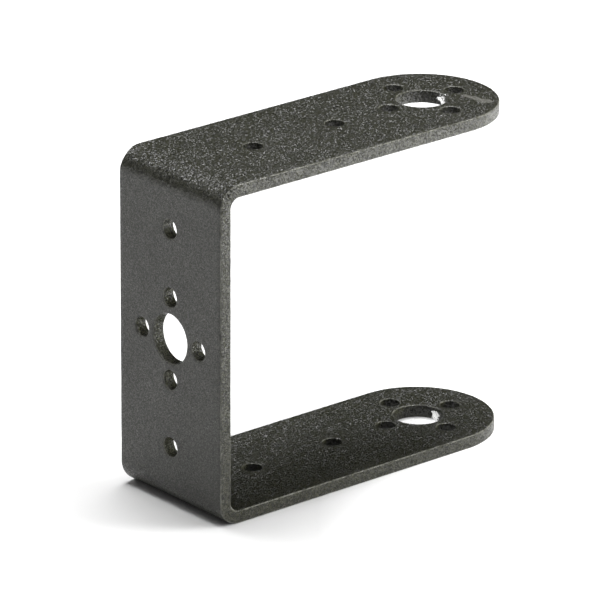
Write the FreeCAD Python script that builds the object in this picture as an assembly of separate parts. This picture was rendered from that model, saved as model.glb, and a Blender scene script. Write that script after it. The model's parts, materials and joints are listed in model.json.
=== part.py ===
import FreeCAD, Part
import math
import os

from FreeCAD import Vector

# Long U bracket of a pan and tilt mount: a strip of aluminium sheet with rounded ends, punched, folded up
# twice and then powder coated all over. It is one piece of metal with no fasteners of its own.
#
# Frame: the origin is the centre of the web's big hole, on the web's outer face. +X runs along the arms
# from the web to their tips, +Y across the strip, and +Z from the lower arm to the upper. Millimetres.

# Bare metal
SHEET_THICKNESS = 2.0
STRIP_WIDTH = 25.0
WEB_HEIGHT = 57.0  # over the outer faces of the arms
ARM_LENGTH = 65.0  # from the web's outer face to an arm's tip
INNER_BEND_RADIUS = 1.8
BORE_DIAMETER = 8.5  # clears the boss of a servo horn
SCREW_HOLE_DIAMETER = 3.4  # medium clearance for M3

# Powder coat, which thickens every wall and narrows every hole
COAT = 0.1

# Hole layout
HORN_CIRCLE_DIAMETER = 14.0  # screw circle of a metal servo horn
HORN_SCREWS = 4
WEB_SCREW_OFFSET = 18.5  # the web's two lone screw holes, above and below its bore
ARM_SCREW_OFFSETS = (18.5, 35.5)  # an arm's two lone screw holes, back from its bore towards the web

# Rounding, as it is over the coat
EDGE_RADIUS = 0.25
RIM_RADIUS = 0.2

# Finished sizes
wall = SHEET_THICKNESS + 2 * COAT
width = STRIP_WIDTH + 2 * COAT
height = WEB_HEIGHT + 2 * COAT
length = ARM_LENGTH + 2 * COAT
outer_bend_radius = INNER_BEND_RADIUS + SHEET_THICKNESS + COAT
bore_radius = BORE_DIAMETER / 2 - COAT
screw_radius = SCREW_HOLE_DIAMETER / 2 - COAT
tip_radius = width / 2
tilt_axis_x = length - tip_radius

# Cutting tools run this far past the metal
CLEAR = 5.0

# Faces that meet at less than this angle run smoothly into each other
SMOOTH_ANGLE = math.radians(30)

X, Y, Z = Vector(1, 0, 0), Vector(0, 1, 0), Vector(0, 0, 1)


def line(x0, z0, x1, z1):
    return Part.makeLine(Vector(x0, 0, z0), Vector(x1, 0, z1))


def quarter_arc(x, z, radius, start):
    """A quarter turn in the XZ plane about (x, z), from start degrees, counted from +X towards +Z."""
    angles = [math.radians(start + turn) for turn in (0, 45, 90)]
    points = [Vector(x + radius * math.cos(a), 0, z + radius * math.sin(a)) for a in angles]
    return Part.Arc(*points).toShape()


def folded_line(depth):
    """The U seen from the side, at a depth below its outer face: arm, bend, web, bend, arm."""
    bend_x = outer_bend_radius
    bend_z = height / 2 - outer_bend_radius
    bend_radius = outer_bend_radius - depth
    arm_z = height / 2 - depth
    return [
        line(length, arm_z, bend_x, arm_z),
        quarter_arc(bend_x, bend_z, bend_radius, 90),
        line(depth, bend_z, depth, -bend_z),
        quarter_arc(bend_x, -bend_z, bend_radius, 180),
        line(bend_x, -arm_z, length, -arm_z),
    ]


def folded_strip():
    """The folded strip, with square ends and no holes."""
    ends = [line(length, side * height / 2, length, side * (height / 2 - wall)) for side in (1, -1)]
    edges = folded_line(0) + folded_line(wall) + ends
    profile = Part.Face(Part.Wire(Part.__sortEdges__(edges)))
    strip = profile.extrude(Y * width)
    strip.translate(Y * (-width / 2))
    return strip


def plan_outline():
    """What is left of the strip seen from above, where each arm ends in a half circle about its bore."""
    depth = height + 2 * CLEAR
    straight = Part.makeBox(tilt_axis_x + CLEAR, width, depth, Vector(-CLEAR, -width / 2, -depth / 2))
    tip = Part.makeCylinder(tip_radius, depth, Vector(tilt_axis_x, 0, -depth / 2), Z)
    return straight.fuse(tip)


def hole(radius, centre, inwards):
    """A hole through one wall, from its centre on the wall's outer face."""
    return Part.makeCylinder(radius, wall + 2 * CLEAR, centre - inwards * CLEAR, inwards)


def horn_pattern(centre, inwards, along):
    """A bore and its circle of screw holes, with the first screw hole in the direction along."""
    across = inwards.cross(along)
    tools = [hole(bore_radius, centre, inwards)]
    for i in range(HORN_SCREWS):
        angle = 2 * math.pi * i / HORN_SCREWS
        spoke = along * math.cos(angle) + across * math.sin(angle)
        tools.append(hole(screw_radius, centre + spoke * (HORN_CIRCLE_DIAMETER / 2), inwards))
    return tools


def web_holes():
    bore = Vector(0, 0, 0)
    lone = [hole(screw_radius, bore + Z * (side * WEB_SCREW_OFFSET), X) for side in (1, -1)]
    return horn_pattern(bore, X, Z) + lone


def arm_holes(side):
    """The holes of the upper arm, where side is 1, or of the lower arm, where it is -1."""
    bore = Vector(tilt_axis_x, 0, side * height / 2)
    inwards = Z * -side
    lone = [hole(screw_radius, bore - X * offset, inwards) for offset in ARM_SCREW_OFFSETS]
    return horn_pattern(bore, inwards, X) + lone


def sharp_edges(solid):
    """The edges where two faces meet at an angle."""
    found = []
    for edge in solid.Edges:
        middle = edge.valueAt((edge.FirstParameter + edge.LastParameter) / 2)
        faces = solid.ancestorsOfType(edge, Part.Face)
        normals = [face.normalAt(*face.Surface.parameter(middle)) for face in faces]
        if len(normals) == 2 and normals[0].getAngle(normals[1]) > SMOOTH_ANGLE:
            found.append(edge)
    return found


def is_hole_rim(edge):
    return edge.Closed and isinstance(edge.Curve, Part.Circle)


def u_bracket():
    body = folded_strip().common(plan_outline())
    body = body.cut(web_holes() + arm_holes(1) + arm_holes(-1)).removeSplitter()
    body = body.makeFillet(EDGE_RADIUS, [edge for edge in sharp_edges(body) if not is_hole_rim(edge)])
    return body.makeFillet(RIM_RADIUS, [edge for edge in sharp_edges(body) if is_hole_rim(edge)])


def export(name, shape):
    if len(shape.Solids) != 1 or not shape.isValid():
        raise RuntimeError(f"{name} is not one valid solid")
    solid = shape.Solids[0]
    os.makedirs("parts", exist_ok=True)
    solid.exportStep(f"parts/{name}.step")
    box = solid.optimalBoundingBox()
    print(f"{name}: {box.XLength:.2f} x {box.YLength:.2f} x {box.ZLength:.2f} mm, {solid.Volume:.0f} mm3")


export("u_bracket", u_bracket())
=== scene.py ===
import json
import math
from collections import namedtuple

import bmesh
import bpy
from mathutils import Matrix, Vector, noise
from mathutils.geometry import delaunay_2d_cdt


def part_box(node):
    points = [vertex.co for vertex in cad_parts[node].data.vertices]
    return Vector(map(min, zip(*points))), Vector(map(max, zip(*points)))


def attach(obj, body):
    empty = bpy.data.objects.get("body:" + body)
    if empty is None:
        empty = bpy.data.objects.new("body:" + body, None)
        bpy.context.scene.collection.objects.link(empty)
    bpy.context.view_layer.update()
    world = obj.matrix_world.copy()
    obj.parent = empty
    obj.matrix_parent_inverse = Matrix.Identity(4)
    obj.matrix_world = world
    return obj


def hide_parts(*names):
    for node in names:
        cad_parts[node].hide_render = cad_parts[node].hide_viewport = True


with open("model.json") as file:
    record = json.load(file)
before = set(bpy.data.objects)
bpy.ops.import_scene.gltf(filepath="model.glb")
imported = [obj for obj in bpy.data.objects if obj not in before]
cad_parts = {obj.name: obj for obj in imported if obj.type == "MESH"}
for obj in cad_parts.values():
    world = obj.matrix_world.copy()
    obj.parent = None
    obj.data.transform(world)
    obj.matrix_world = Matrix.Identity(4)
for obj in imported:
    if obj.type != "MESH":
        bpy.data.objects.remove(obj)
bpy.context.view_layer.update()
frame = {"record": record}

# Everything is in metres, in the CAD frame: the origin is on the web's outer face at the centre of its
# bore, the arms point along +X, and up is +Z.
MM = 0.001

mounts = {mount["name"]: mount for mount in frame["record"]["mounts"]}
low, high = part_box("u_bracket")

HALF_WIDTH = high.y
HALF_HEIGHT = high.z
WALL = mounts["web_bore"]["dims"]["length_mm"] * MM
BORE_RADIUS = mounts["web_bore"]["dims"]["r_mm"] * MM
SCREW_RADIUS = mounts["web_horn_screws"]["dims"]["hole_r_mm"] * MM
HORN_CIRCLE_RADIUS = mounts["web_horn_screws"]["dims"]["pcd_mm"] / 2 * MM
TILT_AXIS_X = mounts["upper_arm_bore"]["pos_m"][0]

# The CAD part's bends and roundings
OUTER_BEND_RADIUS = 3.9 * MM
EDGE_RADIUS = 0.25 * MM
RIM_RADIUS = 0.2 * MM

# The strip laid flat: u runs along it from the middle of the web, v across it, and depth into the sheet
# from the outer face. A bend is as long as its arc halfway through the sheet.
MIDDLE_BEND_RADIUS = OUTER_BEND_RADIUS - WALL / 2
BEND_START_U = HALF_HEIGHT - OUTER_BEND_RADIUS
BEND_END_U = BEND_START_U + MIDDLE_BEND_RADIUS * math.pi / 2

# Mesh spacing: the faces' grid, the steps over a bend, and the ring of points round each hole
GRID = 0.4 * MM
BEND_STEPS = 18
RIM_RING = 0.3 * MM

# How far the grid stays from every edge, and how much closer than the grid's a hole's own points are
GRID_MARGIN = RIM_RING * 1.6
MOUTH_DENSITY = 1.25

# Distances that count as nothing, for merging points and for a triangle on the face's border
MERGE_SLACK = GRID * 1e-4
FACE_SLACK = GRID * 0.001

# Two triangles become a quad if they are flat and square to within these angles, in radians
QUAD_FLATNESS = 0.05
QUAD_SKEW = 0.4

# What forming and coating do to the surface, always inwards from the CAD part's faces. First, the sheet
# narrows in the bends, mostly near its edges.
BEND_NARROWING = 0.14 * MM
NARROWING_POWER = 6

# The coat is wavy all over
PEEL_DEPTH = 0.016 * MM
PEEL_SIZE = 1.6 * MM

# The corners wander, out of step with the coat's waves
EDGE_WANDER = 0.05 * MM
EDGE_WANDER_SIZE = 2.4 * MM
EDGE_WANDER_SHIFT = Vector((7, 3, 5))

# One spot at the near end of the upper bend is bruised, this share of the way round from the web
BRUISE_TURN = 0.6
BRUISE_REACH = 2.0 * MM
BRUISE_DEPTH = 0.12 * MM
BRUISE_SIZE = 0.55 * MM

# How coarse the coat's grain is, from place to place. A bend's grain peaks at a share of the way round
# from the web, and the bruise's is added to what is there.
WEB_GRAIN = 0.35
ARM_GRAIN = 1.0
BEND_GRAIN = 1.3
BEND_GRAIN_PEAK = 0.7
EDGE_GRAIN = 1.1
BRUISE_GRAIN = 1.5

# The band across the sheet's edge: the radius of its two roundings, how worn the roundings and the wall
# between them are, which also paints a highlight on the roundings and a little light on the wall,
# its grain, and the mesh's steps over a rounding and down the wall
EdgeBand = namedtuple("EdgeBand", "radius worn wall_worn grain arc_steps wall_steps")
OUTLINE_EDGE = EdgeBand(
    EDGE_RADIUS, worn=1.0, wall_worn=0.05, grain=EDGE_GRAIN, arc_steps=6, wall_steps=4
)
HOLE_EDGE = EdgeBand(RIM_RADIUS, worn=0.8, wall_worn=0.0, grain=ARM_GRAIN, arc_steps=4, wall_steps=5)


def arm_u(x):
    """Where a point of an arm, at a distance x from the web's outer face, lies along the flat strip."""
    return BEND_END_U + x - OUTER_BEND_RADIUS


TIP_U = arm_u(TILT_AXIS_X)
BRUISE_U = BEND_START_U + BRUISE_TURN * (BEND_END_U - BEND_START_U)


def smooth_step(value):
    """0 up to 0, 1 from 1 on, and a smooth run between them."""
    t = min(max(value, 0.0), 1.0)
    return t * t * (3 - 2 * t)


def fold(u, v, depth):
    """The place of a point of the flat strip once it is folded up."""
    side = math.copysign(1, u)
    run = abs(u)
    if run <= BEND_START_U:
        return Vector((depth, v, u))
    if run >= BEND_END_U:
        return Vector((OUTER_BEND_RADIUS + run - BEND_END_U, v, side * (HALF_HEIGHT - depth)))
    turned = (run - BEND_START_U) / (BEND_END_U - BEND_START_U)
    angle = turned * math.pi / 2
    radius = OUTER_BEND_RADIUS - depth
    # The stretched outside of a bend draws the sheet's edges in
    stretch = (1 - depth / WALL) * math.sin(turned * math.pi) ** 2
    v -= math.copysign(BEND_NARROWING * stretch * (abs(v) / HALF_WIDTH) ** NARROWING_POWER, v)
    x = OUTER_BEND_RADIUS - radius * math.cos(angle)
    z = side * (BEND_START_U + radius * math.sin(angle))
    return Vector((x, v, z))


def hole_list():
    """Each hole as (u, v, radius), on the flat strip."""
    holes = []
    for middle in (-TIP_U, 0, TIP_U):
        holes.append((middle, 0, BORE_RADIUS))
        for quarter in range(4):
            angle = quarter * math.pi / 2
            u = middle + HORN_CIRCLE_RADIUS * math.cos(angle)
            holes.append((u, HORN_CIRCLE_RADIUS * math.sin(angle), SCREW_RADIUS))
    web_reach = mounts["web_outer_screws"]["dims"]["spacing_y_mm"] / 2 * MM
    arm_middle = mounts["upper_arm_middle_screws"]["pos_m"][0]
    arm_reach = mounts["upper_arm_middle_screws"]["dims"]["spacing_x_mm"] / 2 * MM
    for side in (-1, 1):
        holes.append((side * web_reach, 0, SCREW_RADIUS))
        for end in (-1, 1):
            holes.append((side * arm_u(arm_middle + end * arm_reach), 0, SCREW_RADIUS))
    return holes


def steps(start, end, count):
    """Evenly spaced numbers from start towards end, which isn't one of them."""
    return [start + (end - start) * i / count for i in range(count)]


def stations():
    """Where the mesh's cross lines stand along the straight-sided part of the strip."""
    web = steps(-BEND_START_U, BEND_START_U, round(2 * BEND_START_U / GRID))
    bend = steps(BEND_START_U, BEND_END_U, BEND_STEPS)
    arm = steps(BEND_END_U, TIP_U, round((TIP_U - BEND_END_U) / GRID)) + [TIP_U]
    mirrored = [-u for u in reversed(bend + arm)]
    return mirrored + web[1:] + bend + arm


def outline_loop():
    """The strip's outline, inset to where its flat face ends, as (u, v, outward u, outward v)."""
    inset = HALF_WIDTH - EDGE_RADIUS
    arc_steps = round(math.pi * inset / GRID)
    loop = []
    for side in (-1, 1):
        # The first pass goes up the strip on its -v side, and the second comes back on its +v side
        loop += [(-side * u, side * inset, 0, side) for u in stations()[:-1]]
        for i in range(arc_steps):
            angle = side * math.pi / 2 + math.pi * i / arc_steps
            out_u, out_v = math.cos(angle), math.sin(angle)
            loop.append((-side * TIP_U + inset * out_u, inset * out_v, out_u, out_v))
    return loop


def hole_loop(hole):
    """The mouth of a hole, where the flat face ends, as (u, v, outward u, outward v)."""
    u, v, radius = hole
    reach = radius + RIM_RADIUS
    count = 4 * math.ceil(2 * math.pi * reach / GRID / 4 * MOUTH_DENSITY)
    loop = []
    for i in range(count):
        angle = 2 * math.pi * i / count
        out_u, out_v = -math.cos(angle), -math.sin(angle)
        loop.append((u - reach * out_u, v - reach * out_v, out_u, out_v))
    return loop


def in_face(u, v, holes, margin):
    """Whether a point lies on the flat face, at least a margin away from its outline and its holes."""
    overhang = max(abs(u) - TIP_U, 0)
    if math.hypot(overhang, v) > HALF_WIDTH - EDGE_RADIUS - margin:
        return False
    return all(math.hypot(u - a, v - b) >= radius + RIM_RADIUS + margin for a, b, radius in holes)


def inner_points(holes):
    """The points of the mesh inside the face: a grid, and a ring round each hole."""
    inset = HALF_WIDTH - EDGE_RADIUS
    beyond = steps(TIP_U + GRID, TIP_U + inset, round(inset / GRID))
    lines = [-u for u in reversed(beyond)] + stations() + beyond
    rows = steps(-inset, inset, round(2 * inset / GRID))[1:]
    points = [(u, v) for u in lines for v in rows if in_face(u, v, holes, GRID_MARGIN)]
    for u, v, radius in holes:
        ring = radius + RIM_RADIUS + RIM_RING
        count = 4 * math.ceil(2 * math.pi * ring / GRID / 4)
        for i in range(count):
            angle = 2 * math.pi * (i + 0.5) / count
            points.append((u + ring * math.cos(angle), v + ring * math.sin(angle)))
    return points


def face_pattern(loops, holes):
    """One flat face as points and triangles. The loops' own points come first, in order."""
    points = []
    edges = []
    for loop in loops:
        first = len(points)
        points += [(u, v) for u, v, _, _ in loop]
        edges += [(first + i, first + (i + 1) % len(loop)) for i in range(len(loop))]
    points += inner_points(holes)
    result = delaunay_2d_cdt([Vector(point) for point in points], edges, [], 0, MERGE_SLACK)
    made, triangles = result[0], result[2]
    kept = []
    for triangle in triangles:
        middle = sum((made[i] for i in triangle), Vector((0, 0))) / 3
        if in_face(middle.x, middle.y, holes, -FACE_SLACK):
            kept.append(triangle)
    return made, kept


def rounded_profile(edge):
    """An edge band from the outer face to the inner, as (distance beyond the loop, depth)."""
    radius = edge.radius
    profile = []
    for i in range(1, edge.arc_steps + 1):
        angle = math.pi / 2 * i / edge.arc_steps
        profile.append((radius * math.sin(angle), radius * (1 - math.cos(angle))))
    for i in range(1, edge.wall_steps):
        profile.append((radius, radius + (WALL - 2 * radius) * i / edge.wall_steps))
    return profile + [(out, WALL - depth) for out, depth in reversed(profile[:edge.arc_steps])]


def wear_and_highlight_of(out, depth, radius):
    """How worn a point of an edge band is, and how much painted highlight it gets: 1 in the middle of a
    rounding, and 0 on the wall.
    """
    near = min(depth, WALL - depth)
    if near >= radius:
        return 0.0
    angle = math.atan2(out, radius - near)
    return math.sin(2 * angle) ** 2


def coarseness(u):
    """The coat's grain on the sheet's two faces: finest on the web and coarsest in the bends."""
    turned = (abs(u) - BEND_START_U) / (BEND_END_U - BEND_START_U)
    flat = WEB_GRAIN + (ARM_GRAIN - WEB_GRAIN) * smooth_step(turned)
    return flat + (BEND_GRAIN - ARM_GRAIN) * smooth_step(1 - abs(2 * turned - 2 * BEND_GRAIN_PEAK))


def noise_share(place):
    """Smooth noise between 0 and 1, with a wave about as long as the place's unit."""
    return noise.noise(place) * 0.5 + 0.5


class Skin:
    """The mesh being written. Each vertex carries how worn its coat is, which also sets the painted
    highlight on its corners, and how coarse its coat is.
    """

    def __init__(self):
        self.mesh = bmesh.new()
        self.wear_and_highlight = self.mesh.verts.layers.float.new("wear_and_highlight")
        self.coarse = self.mesh.verts.layers.float.new("coarse")

    def vertex(self, place, wear_and_highlight, coarse):
        made = self.mesh.verts.new(place)
        made[self.wear_and_highlight] = wear_and_highlight
        made[self.coarse] = coarse
        return made

    def add_face_side(self, pattern, depth):
        """One of the sheet's two big faces. Returns its vertices by their place in the pattern."""
        points, triangles = pattern
        used = sorted({i for triangle in triangles for i in triangle})
        made = {i: self.vertex(fold(*points[i], depth), 0, coarseness(points[i].x)) for i in used}
        for triangle in triangles:
            self.mesh.faces.new([made[i] for i in triangle])
        return made

    def add_edge_band(self, loop, above, below, edge):
        """The rounded band between the outer and the inner face along a loop."""
        rows = [above]
        for out, depth in rounded_profile(edge):
            # The worn colour also paints a highlight on the roundings and a little light on the wall
            wear_and_highlight = max(edge.worn * wear_and_highlight_of(out, depth, edge.radius), edge.wall_worn)
            places = [fold(u + a * out, v + b * out, depth) for u, v, a, b in loop]
            rows.append([self.vertex(place, wear_and_highlight, edge.grain) for place in places])
        rows.append(below)
        for upper, lower in zip(rows, rows[1:]):
            for i in range(len(loop)):
                self.mesh.faces.new((upper[i - 1], upper[i], lower[i], lower[i - 1]))

    def soften(self):
        """Sinks the surface a little and unevenly, as a thick coat on punched sheet does."""
        bruise_centre = fold(BRUISE_U, -HALF_WIDTH, 0)
        self.mesh.normal_update()
        sunk = []
        for vertex in self.mesh.verts:
            peel = noise_share(vertex.co / PEEL_SIZE)
            shifted = vertex.co / EDGE_WANDER_SIZE + EDGE_WANDER_SHIFT
            wander = noise_share(shifted) * vertex[self.wear_and_highlight]
            bruise = smooth_step(1 - (vertex.co - bruise_centre).length / BRUISE_REACH)
            dent = noise_share(vertex.co / BRUISE_SIZE) * bruise
            depth = PEEL_DEPTH * peel + EDGE_WANDER * wander + BRUISE_DEPTH * dent
            sunk.append(vertex.co - vertex.normal * depth)
            vertex[self.coarse] += BRUISE_GRAIN * bruise
        for vertex, place in zip(self.mesh.verts, sunk):
            vertex.co = place


def make_bracket():
    holes = hole_list()
    loops = [outline_loop()] + [hole_loop(hole) for hole in holes]
    pattern = face_pattern(loops, holes)
    skin = Skin()
    outer = skin.add_face_side(pattern, 0)
    inner = skin.add_face_side(pattern, WALL)
    first = 0
    for loop in loops:
        ids = range(first, first + len(loop))
        above = [outer[i] for i in ids]
        below = [inner[i] for i in ids]
        skin.add_edge_band(loop, above, below, OUTLINE_EDGE if first == 0 else HOLE_EDGE)
        first += len(loop)
    bmesh.ops.recalc_face_normals(skin.mesh, faces=skin.mesh.faces)
    skin.soften()
    limits = {"angle_face_threshold": QUAD_FLATNESS, "angle_shape_threshold": QUAD_SKEW}
    bmesh.ops.join_triangles(skin.mesh, faces=skin.mesh.faces, **limits)
    data = bpy.data.meshes.new("coated_bracket")
    skin.mesh.to_mesh(data)
    skin.mesh.free()
    data.shade_smooth()
    piece = bpy.data.objects.new("coated_bracket", data)
    bpy.context.scene.collection.objects.link(piece)
    return piece


# Materials

# The coat's colours, from the dark between its grains to the metal under it
COAT_DARK = (0.0008, 0.0008, 0.0005, 1)
COAT_LIGHT = (0.0260, 0.0264, 0.0158, 1)
RUBBED_COAT = (0.120, 0.119, 0.108, 1)
# The worn coat's colour is partly worn coat and partly a painted highlight on the corners and the
# holes' rims
WORN_COAT_AND_HIGHLIGHT = (0.240, 0.240, 0.208, 1)
BARE_METAL = (0.90, 0.90, 0.89, 1)

# The coat's grain: its cells to the metre, how far they tilt the surface, and how far apart
# their tones are
GRAINS = 6200.0
GRAIN_TILT = 0.9
GRAIN_CONTRAST = 2.2

# The softer sand over it: its waves to the metre, and how far they tilt the surface
SAND = 6000.0
SAND_TILT = 0.4

# The share of the tilt that is left where the coat is rubbed or missing
TILT_LEFT = 0.35

# What a noise node gives lies mostly between these two
NOISE_LOW = 0.3
NOISE_HIGH = 0.7

# Broad clouds over the coat: their waves to the metre, and how far they take its tone and its roughness
CLOUDS = 140.0
CLOUD_TONES = (0.9, 1.1)
CLOUD_ROUGHNESS = (0.40, 0.34)

# The chips along the corners: their waves to the metre, the span of noise they take up, and how much of
# the worn coat's colour, which is also a painted highlight, shows at the two ends of it
CHIPS = 700.0
CHIP_SPAN = (0.35, 0.65)
CHIP_AND_HIGHLIGHT_SHARES = (0.15, 0.6)

# How much smoother rubbed coat and bare metal are than the coat, and the share of that at a worn corner
SMOOTHING = 0.12
WEAR_SMOOTHING = 0.5

# Bare marks on the bores' tip side, where the part hung while it was coated: the angle round the bore,
# the height of the mark's middle, its half width and its half height
HANG_MARKS = (
    (-4, HALF_HEIGHT - 1.0 * MM, 1.0 * MM, 0.95 * MM),
    (4, -HALF_HEIGHT + 0.85 * MM, 0.85 * MM, 0.8 * MM),
)

# How deep the marks reach into the wall, the waves to the metre of their ragged edge, and how far it
# wanders, as a share of a mark's size
MARK_DEPTH = 0.6 * MM
MARK_EDGE = 1500.0
MARK_EDGE_WANDER = 0.45

# The rub across the upper arm near its tip, a thin streak with a broad end: the middle of each, and its
# half width, half length and half depth before the rub's turn about Z
RUBS = (
    ((59.4 * MM, -5.3 * MM, HALF_HEIGHT), (0.8 * MM, 3.8 * MM, 1.0 * MM)),
    ((59.7 * MM, -7.2 * MM, HALF_HEIGHT), (1.3 * MM, 1.9 * MM, 1.0 * MM)),
)
RUB_TURN = math.radians(9)

# The rub's scratches: their waves to the metre across, along and into the sheet, the span of noise they
# take up, and the strength of the faintest
SCRATCHES = (3000.0, 350.0, 1.0)
SCRATCH_SPAN = (0.3, 0.6)
SCRATCH_LEAST = 0.35

# How far the scratches fray the rub's edge: the faintest draw it in, and the strongest push it out
RUB_FRAY = (0.5, -0.2)

# A patch is at full strength from this share of its size inwards
PATCH_FULL = 0.85


class Shader:
    """A material being written. What goes into a node is a plain value or another node's output."""

    def __init__(self, name):
        self.material = bpy.data.materials.new(name)
        self.material.use_nodes = True
        self.tree = self.material.node_tree
        self.tree.nodes.clear()

    def node(self, kind, settings=None, **inputs):
        made = self.tree.nodes.new("ShaderNode" + kind)
        for key, value in (settings or {}).items():
            setattr(made, key, value)
        for key, value in inputs.items():
            self.put(made.inputs[key.replace("_", " ")], value)
        return made

    def put(self, socket, value):
        if isinstance(value, bpy.types.NodeSocket):
            self.tree.links.new(value, socket)
        else:
            socket.default_value = value

    def vector(self, operation, first, second):
        made = self.node("VectorMath", {"operation": operation})
        self.put(made.inputs[0], first)
        self.put(made.inputs[1], second)
        return made.outputs[0]

    def scaled(self, vector, amount):
        made = self.node("VectorMath", {"operation": "SCALE"}, Scale=amount)
        self.put(made.inputs[0], vector)
        return made.outputs[0]

    def length(self, vector):
        made = self.node("VectorMath", {"operation": "LENGTH"})
        self.put(made.inputs[0], vector)
        return made.outputs["Value"]

    def math(self, operation, first, second):
        made = self.node("Math", {"operation": operation})
        self.put(made.inputs[0], first)
        self.put(made.inputs[1], second)
        return made.outputs[0]

    def mapped(self, value, start, end, low=0.0, high=1.0):
        """The value's run from start to end as a run from low to high, level beyond both."""
        inputs = {"From_Min": start, "From_Max": end, "To_Min": low, "To_Max": high}
        return self.node("MapRange", Value=value, **inputs).outputs["Result"]

    def noise(self, place, scale, detail=2.0, roughness=0.6):
        return self.node("TexNoise", Vector=place, Scale=scale, Detail=detail, Roughness=roughness)

    def mix(self, amount, first, second):
        return self.node("MixRGB", Fac=amount, Color1=first, Color2=second).outputs["Color"]

    def patch(self, place, middle, reach, turn, edge):
        """1 inside an ellipsoid with a ragged edge, and 0 outside it."""
        inputs = {"Vector": place, "Location": middle, "Rotation": (0, 0, turn), "Scale": reach}
        local = self.node("Mapping", {"vector_type": "TEXTURE"}, **inputs)
        ragged = self.math("ADD", self.length(local.outputs[0]), edge)
        return self.mapped(ragged, 1.0, PATCH_FULL)

    def finish(self, surface):
        self.node("OutputMaterial", Surface=surface.outputs["BSDF"])
        return self.material


def hang_marks(s, place):
    """Where the coat is missing in the bores."""
    ragged = s.noise(place, MARK_EDGE).outputs["Fac"]
    edge = s.mapped(ragged, NOISE_LOW, NOISE_HIGH, -MARK_EDGE_WANDER, MARK_EDGE_WANDER)
    marks = 0.0
    for degrees, height, half_width, half_height in HANG_MARKS:
        angle = math.radians(degrees)
        middle = (TILT_AXIS_X + BORE_RADIUS * math.cos(angle), BORE_RADIUS * math.sin(angle), height)
        reach = (MARK_DEPTH, half_width, half_height)
        marks = s.math("MAXIMUM", marks, s.patch(place, middle, reach, angle, edge))
    return marks


def rub_mark(s, place):
    """How strongly the upper arm is rubbed: a smear of fine scratches near its tip."""
    along = s.node("Mapping", Vector=place, Rotation=(0, 0, -RUB_TURN), Scale=SCRATCHES)
    scratches = s.noise(along.outputs[0], 1.0).outputs["Fac"]
    edge = s.mapped(scratches, NOISE_LOW, NOISE_HIGH, *RUB_FRAY)
    inside = 0.0
    for middle, reach in RUBS:
        inside = s.math("MAXIMUM", inside, s.patch(place, middle, reach, RUB_TURN, edge))
    return s.math("MULTIPLY", inside, s.mapped(scratches, *SCRATCH_SPAN, SCRATCH_LEAST, 1.0))


def powder_coat():
    s = Shader("powder_coat")
    place = s.node("TexCoord").outputs["Object"]
    wear_and_highlight = s.node("Attribute", {"attribute_name": "wear_and_highlight"}).outputs["Fac"]
    coarse = s.node("Attribute", {"attribute_name": "coarse"}).outputs["Fac"]
    sand = s.noise(place, SAND)
    clouds = s.noise(place, CLOUDS).outputs["Fac"]
    bare = hang_marks(s, place)
    rub = rub_mark(s, place)

    # Colour: grain, broad clouds, edges worn in places and painted with a highlight, then the marks
    grains = s.node("TexVoronoi", Vector=place, Scale=GRAINS).outputs["Color"]
    speckle = s.math("MULTIPLY", s.math("SUBTRACT", grains, 0.5), GRAIN_CONTRAST)
    tone = s.mix(s.math("ADD", s.math("MULTIPLY", speckle, coarse), 0.5), COAT_DARK, COAT_LIGHT)
    clouded = s.scaled(tone, s.mapped(clouds, NOISE_LOW, NOISE_HIGH, *CLOUD_TONES))
    chips_and_highlight = s.mapped(s.noise(place, CHIPS).outputs["Fac"], *CHIP_SPAN, *CHIP_AND_HIGHLIGHT_SHARES)
    # The worn corners' lighter colour is partly wear and partly a painted highlight
    edged_and_highlighted = s.mix(s.math("MULTIPLY", wear_and_highlight, chips_and_highlight), clouded, WORN_COAT_AND_HIGHLIGHT)
    rubbed = s.mix(rub, edged_and_highlighted, RUBBED_COAT)
    colour = s.mix(bare, rubbed, BARE_METAL)

    # Gloss: uneven with the clouds, smoother where it is worn, rubbed or bare
    matt = s.mapped(clouds, NOISE_LOW, NOISE_HIGH, *CLOUD_ROUGHNESS)
    smoothed = s.math("MAXIMUM", s.math("MULTIPLY", wear_and_highlight, WEAR_SMOOTHING), s.math("MAXIMUM", rub, bare))
    roughness = s.math("SUBTRACT", matt, s.math("MULTIPLY", smoothed, SMOOTHING))

    # Relief: the grain tilts the surface, less where it was rubbed smooth or the coat is missing
    centre = (0.5, 0.5, 0.5)
    grain = s.scaled(s.vector("SUBTRACT", grains, centre), GRAIN_TILT)
    fine = s.scaled(s.vector("SUBTRACT", sand.outputs["Color"], centre), SAND_TILT)
    left = s.mapped(s.math("MAXIMUM", rub, bare), 0.0, 1.0, 1.0, TILT_LEFT)
    kept = s.math("MULTIPLY", coarse, left)
    tilt = s.scaled(s.vector("ADD", grain, fine), kept)
    facing = s.vector("ADD", s.node("NewGeometry").outputs["Normal"], tilt)
    normal = s.node("VectorMath", {"operation": "NORMALIZE"})
    s.put(normal.inputs[0], facing)

    inputs = {"Base_Color": colour, "Roughness": roughness, "Metallic": bare}
    return s.finish(s.node("BsdfPrincipled", Normal=normal.outputs[0], **inputs))


# The stage

WHITE = (1, 1, 1, 1)
PAPER = (0.62, 0.62, 0.62, 1)
PAPER_ROUGHNESS = 0.9
FLOOR_REACH = 4.0
FLOOR_SIDES = 96

# The floor's glow far from the bracket, from where it starts to where it is full
GLOW = 1.2
GLOW_START = 0.3
GLOW_END = 0.9

# The floor's glow beside the bracket, towards the key light: where its middle lies, and how far round
# that it is full. It has faded out where it reaches the bracket.
SIDE_GLOW = 4.8
SIDE_AZIMUTH = 44
SIDE_DISTANCE = 0.28
SIDE_FULL = SIDE_DISTANCE / 3


def direction(azimuth, elevation):
    """The unit vector at an azimuth from -Y towards +X and an elevation, both in degrees."""
    a, e = math.radians(azimuth), math.radians(elevation)
    return Vector((math.sin(a) * math.cos(e), -math.cos(a) * math.cos(e), math.sin(e)))


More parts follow.
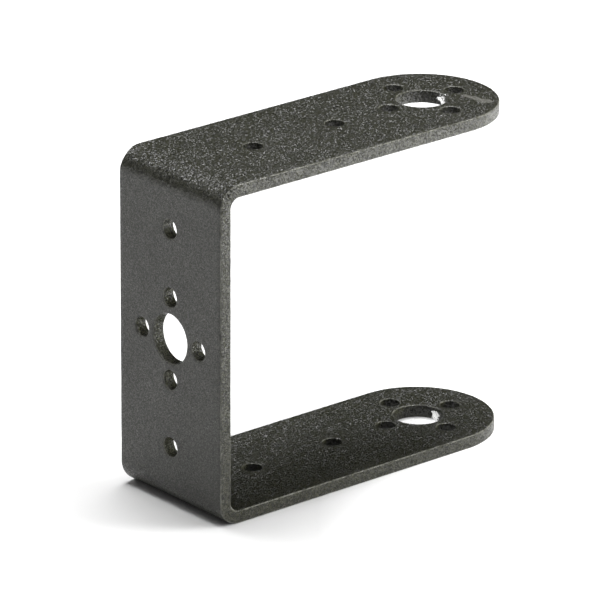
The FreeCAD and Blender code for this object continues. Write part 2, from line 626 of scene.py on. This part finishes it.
def paper():
    """White paper with painted light: it glows as if overexposed and lights the bracket, but not where
    the shadows lie.
    """
    s = Shader("paper")
    place = s.node("TexCoord").outputs["Object"]
    away = s.length(place)
    side_middle = tuple(direction(SIDE_AZIMUTH, 0) * SIDE_DISTANCE)
    from_side = s.length(s.vector("SUBTRACT", place, side_middle))
    beside = s.mapped(from_side, SIDE_DISTANCE, SIDE_FULL, 0.0, SIDE_GLOW)
    around = s.mapped(away, GLOW_START, GLOW_END, 0.0, GLOW)
    glow = s.math("ADD", beside, around)
    inputs = {"Base_Color": PAPER, "Roughness": PAPER_ROUGHNESS, "Emission_Color": WHITE}
    return s.finish(s.node("BsdfPrincipled", Emission_Strength=glow, **inputs))


def make_floor():
    mesh = bmesh.new()
    bmesh.ops.create_circle(mesh, cap_ends=True, segments=FLOOR_SIDES, radius=FLOOR_REACH)
    data = bpy.data.meshes.new("floor")
    mesh.to_mesh(data)
    mesh.free()
    floor = bpy.data.objects.new("floor", data)
    floor.location = (high.x / 2, 0, low.z)
    bpy.context.scene.collection.objects.link(floor)
    data.materials.append(paper())


# Softboxes: name, azimuth, elevation, distance, size, watts, and whether the bracket mirrors them. The
# low key's mirror image would turn the arms' faces white, seen from across them.
SOFTBOXES = (
    ("overhead", 150, 80, 1.05, 0.65, 20.5, True),
    ("low_key", 52, 7, 1.2, 0.6, 48.0, False),
    ("rim", 54, 45, 1.2, 0.25, 2.2, True),
    ("fill", 300, 20, 1.2, 0.9, 1.4, True),
    ("back", 200, 41, 1.2, 0.4, 2.6, True),
)


def make_lights():
    for name, azimuth, elevation, distance, size, watts, mirrored in SOFTBOXES:
        light = bpy.data.lights.new(name, "AREA")
        light.shape = "SQUARE"
        light.size = size
        light.energy = watts
        lamp = bpy.data.objects.new(name, light)
        towards = direction(azimuth, elevation)
        lamp.location = towards * distance
        lamp.rotation_euler = towards.to_track_quat("Z", "Y").to_euler()
        lamp.visible_camera = False
        lamp.visible_glossy = mirrored
        bpy.context.scene.collection.objects.link(lamp)
    # The room is seen as a white background, and gives no light of its own
    world = bpy.data.worlds.new("room")
    world.use_nodes = True
    world.node_tree.nodes["Background"].inputs["Color"].default_value = WHITE
    bpy.context.scene.world = world
    for kind in ("diffuse", "glossy", "transmission", "scatter"):
        setattr(world.cycles_visibility, kind, False)


# The camera, at the photograph's viewing angle. Its lens and sensor are in millimetres.
CAMERA_AZIMUTH = -40.4
CAMERA_ELEVATION = 20.94
CAMERA_ROLL = 0.26
CAMERA_DISTANCE = 1.046
CAMERA_AIM_X = 0.027
LENS = 390.5
SENSOR_WIDTH = 36
CLIP_START = 0.01
CLIP_END = 20


def make_camera():
    data = bpy.data.cameras.new("camera")
    data.lens = LENS
    data.sensor_width = SENSOR_WIDTH
    data.clip_start = CLIP_START
    data.clip_end = CLIP_END
    camera = bpy.data.objects.new("camera", data)
    back = direction(CAMERA_AZIMUTH, CAMERA_ELEVATION)
    facing = (-back).to_track_quat("-Z", "Y").to_matrix().to_4x4()
    roll = Matrix.Rotation(math.radians(CAMERA_ROLL), 4, "Z")
    aim = Matrix.Translation(Vector((CAMERA_AIM_X, 0, 0)) + back * CAMERA_DISTANCE)
    camera.matrix_world = aim @ facing @ roll
    bpy.context.scene.collection.objects.link(camera)
    bpy.context.scene.camera = camera


bracket = make_bracket()
bracket.data.materials.append(powder_coat())
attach(bracket, "root")
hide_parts("u_bracket")

make_floor()
make_lights()
make_camera()
bpy.context.scene.view_settings.view_transform = "Standard"
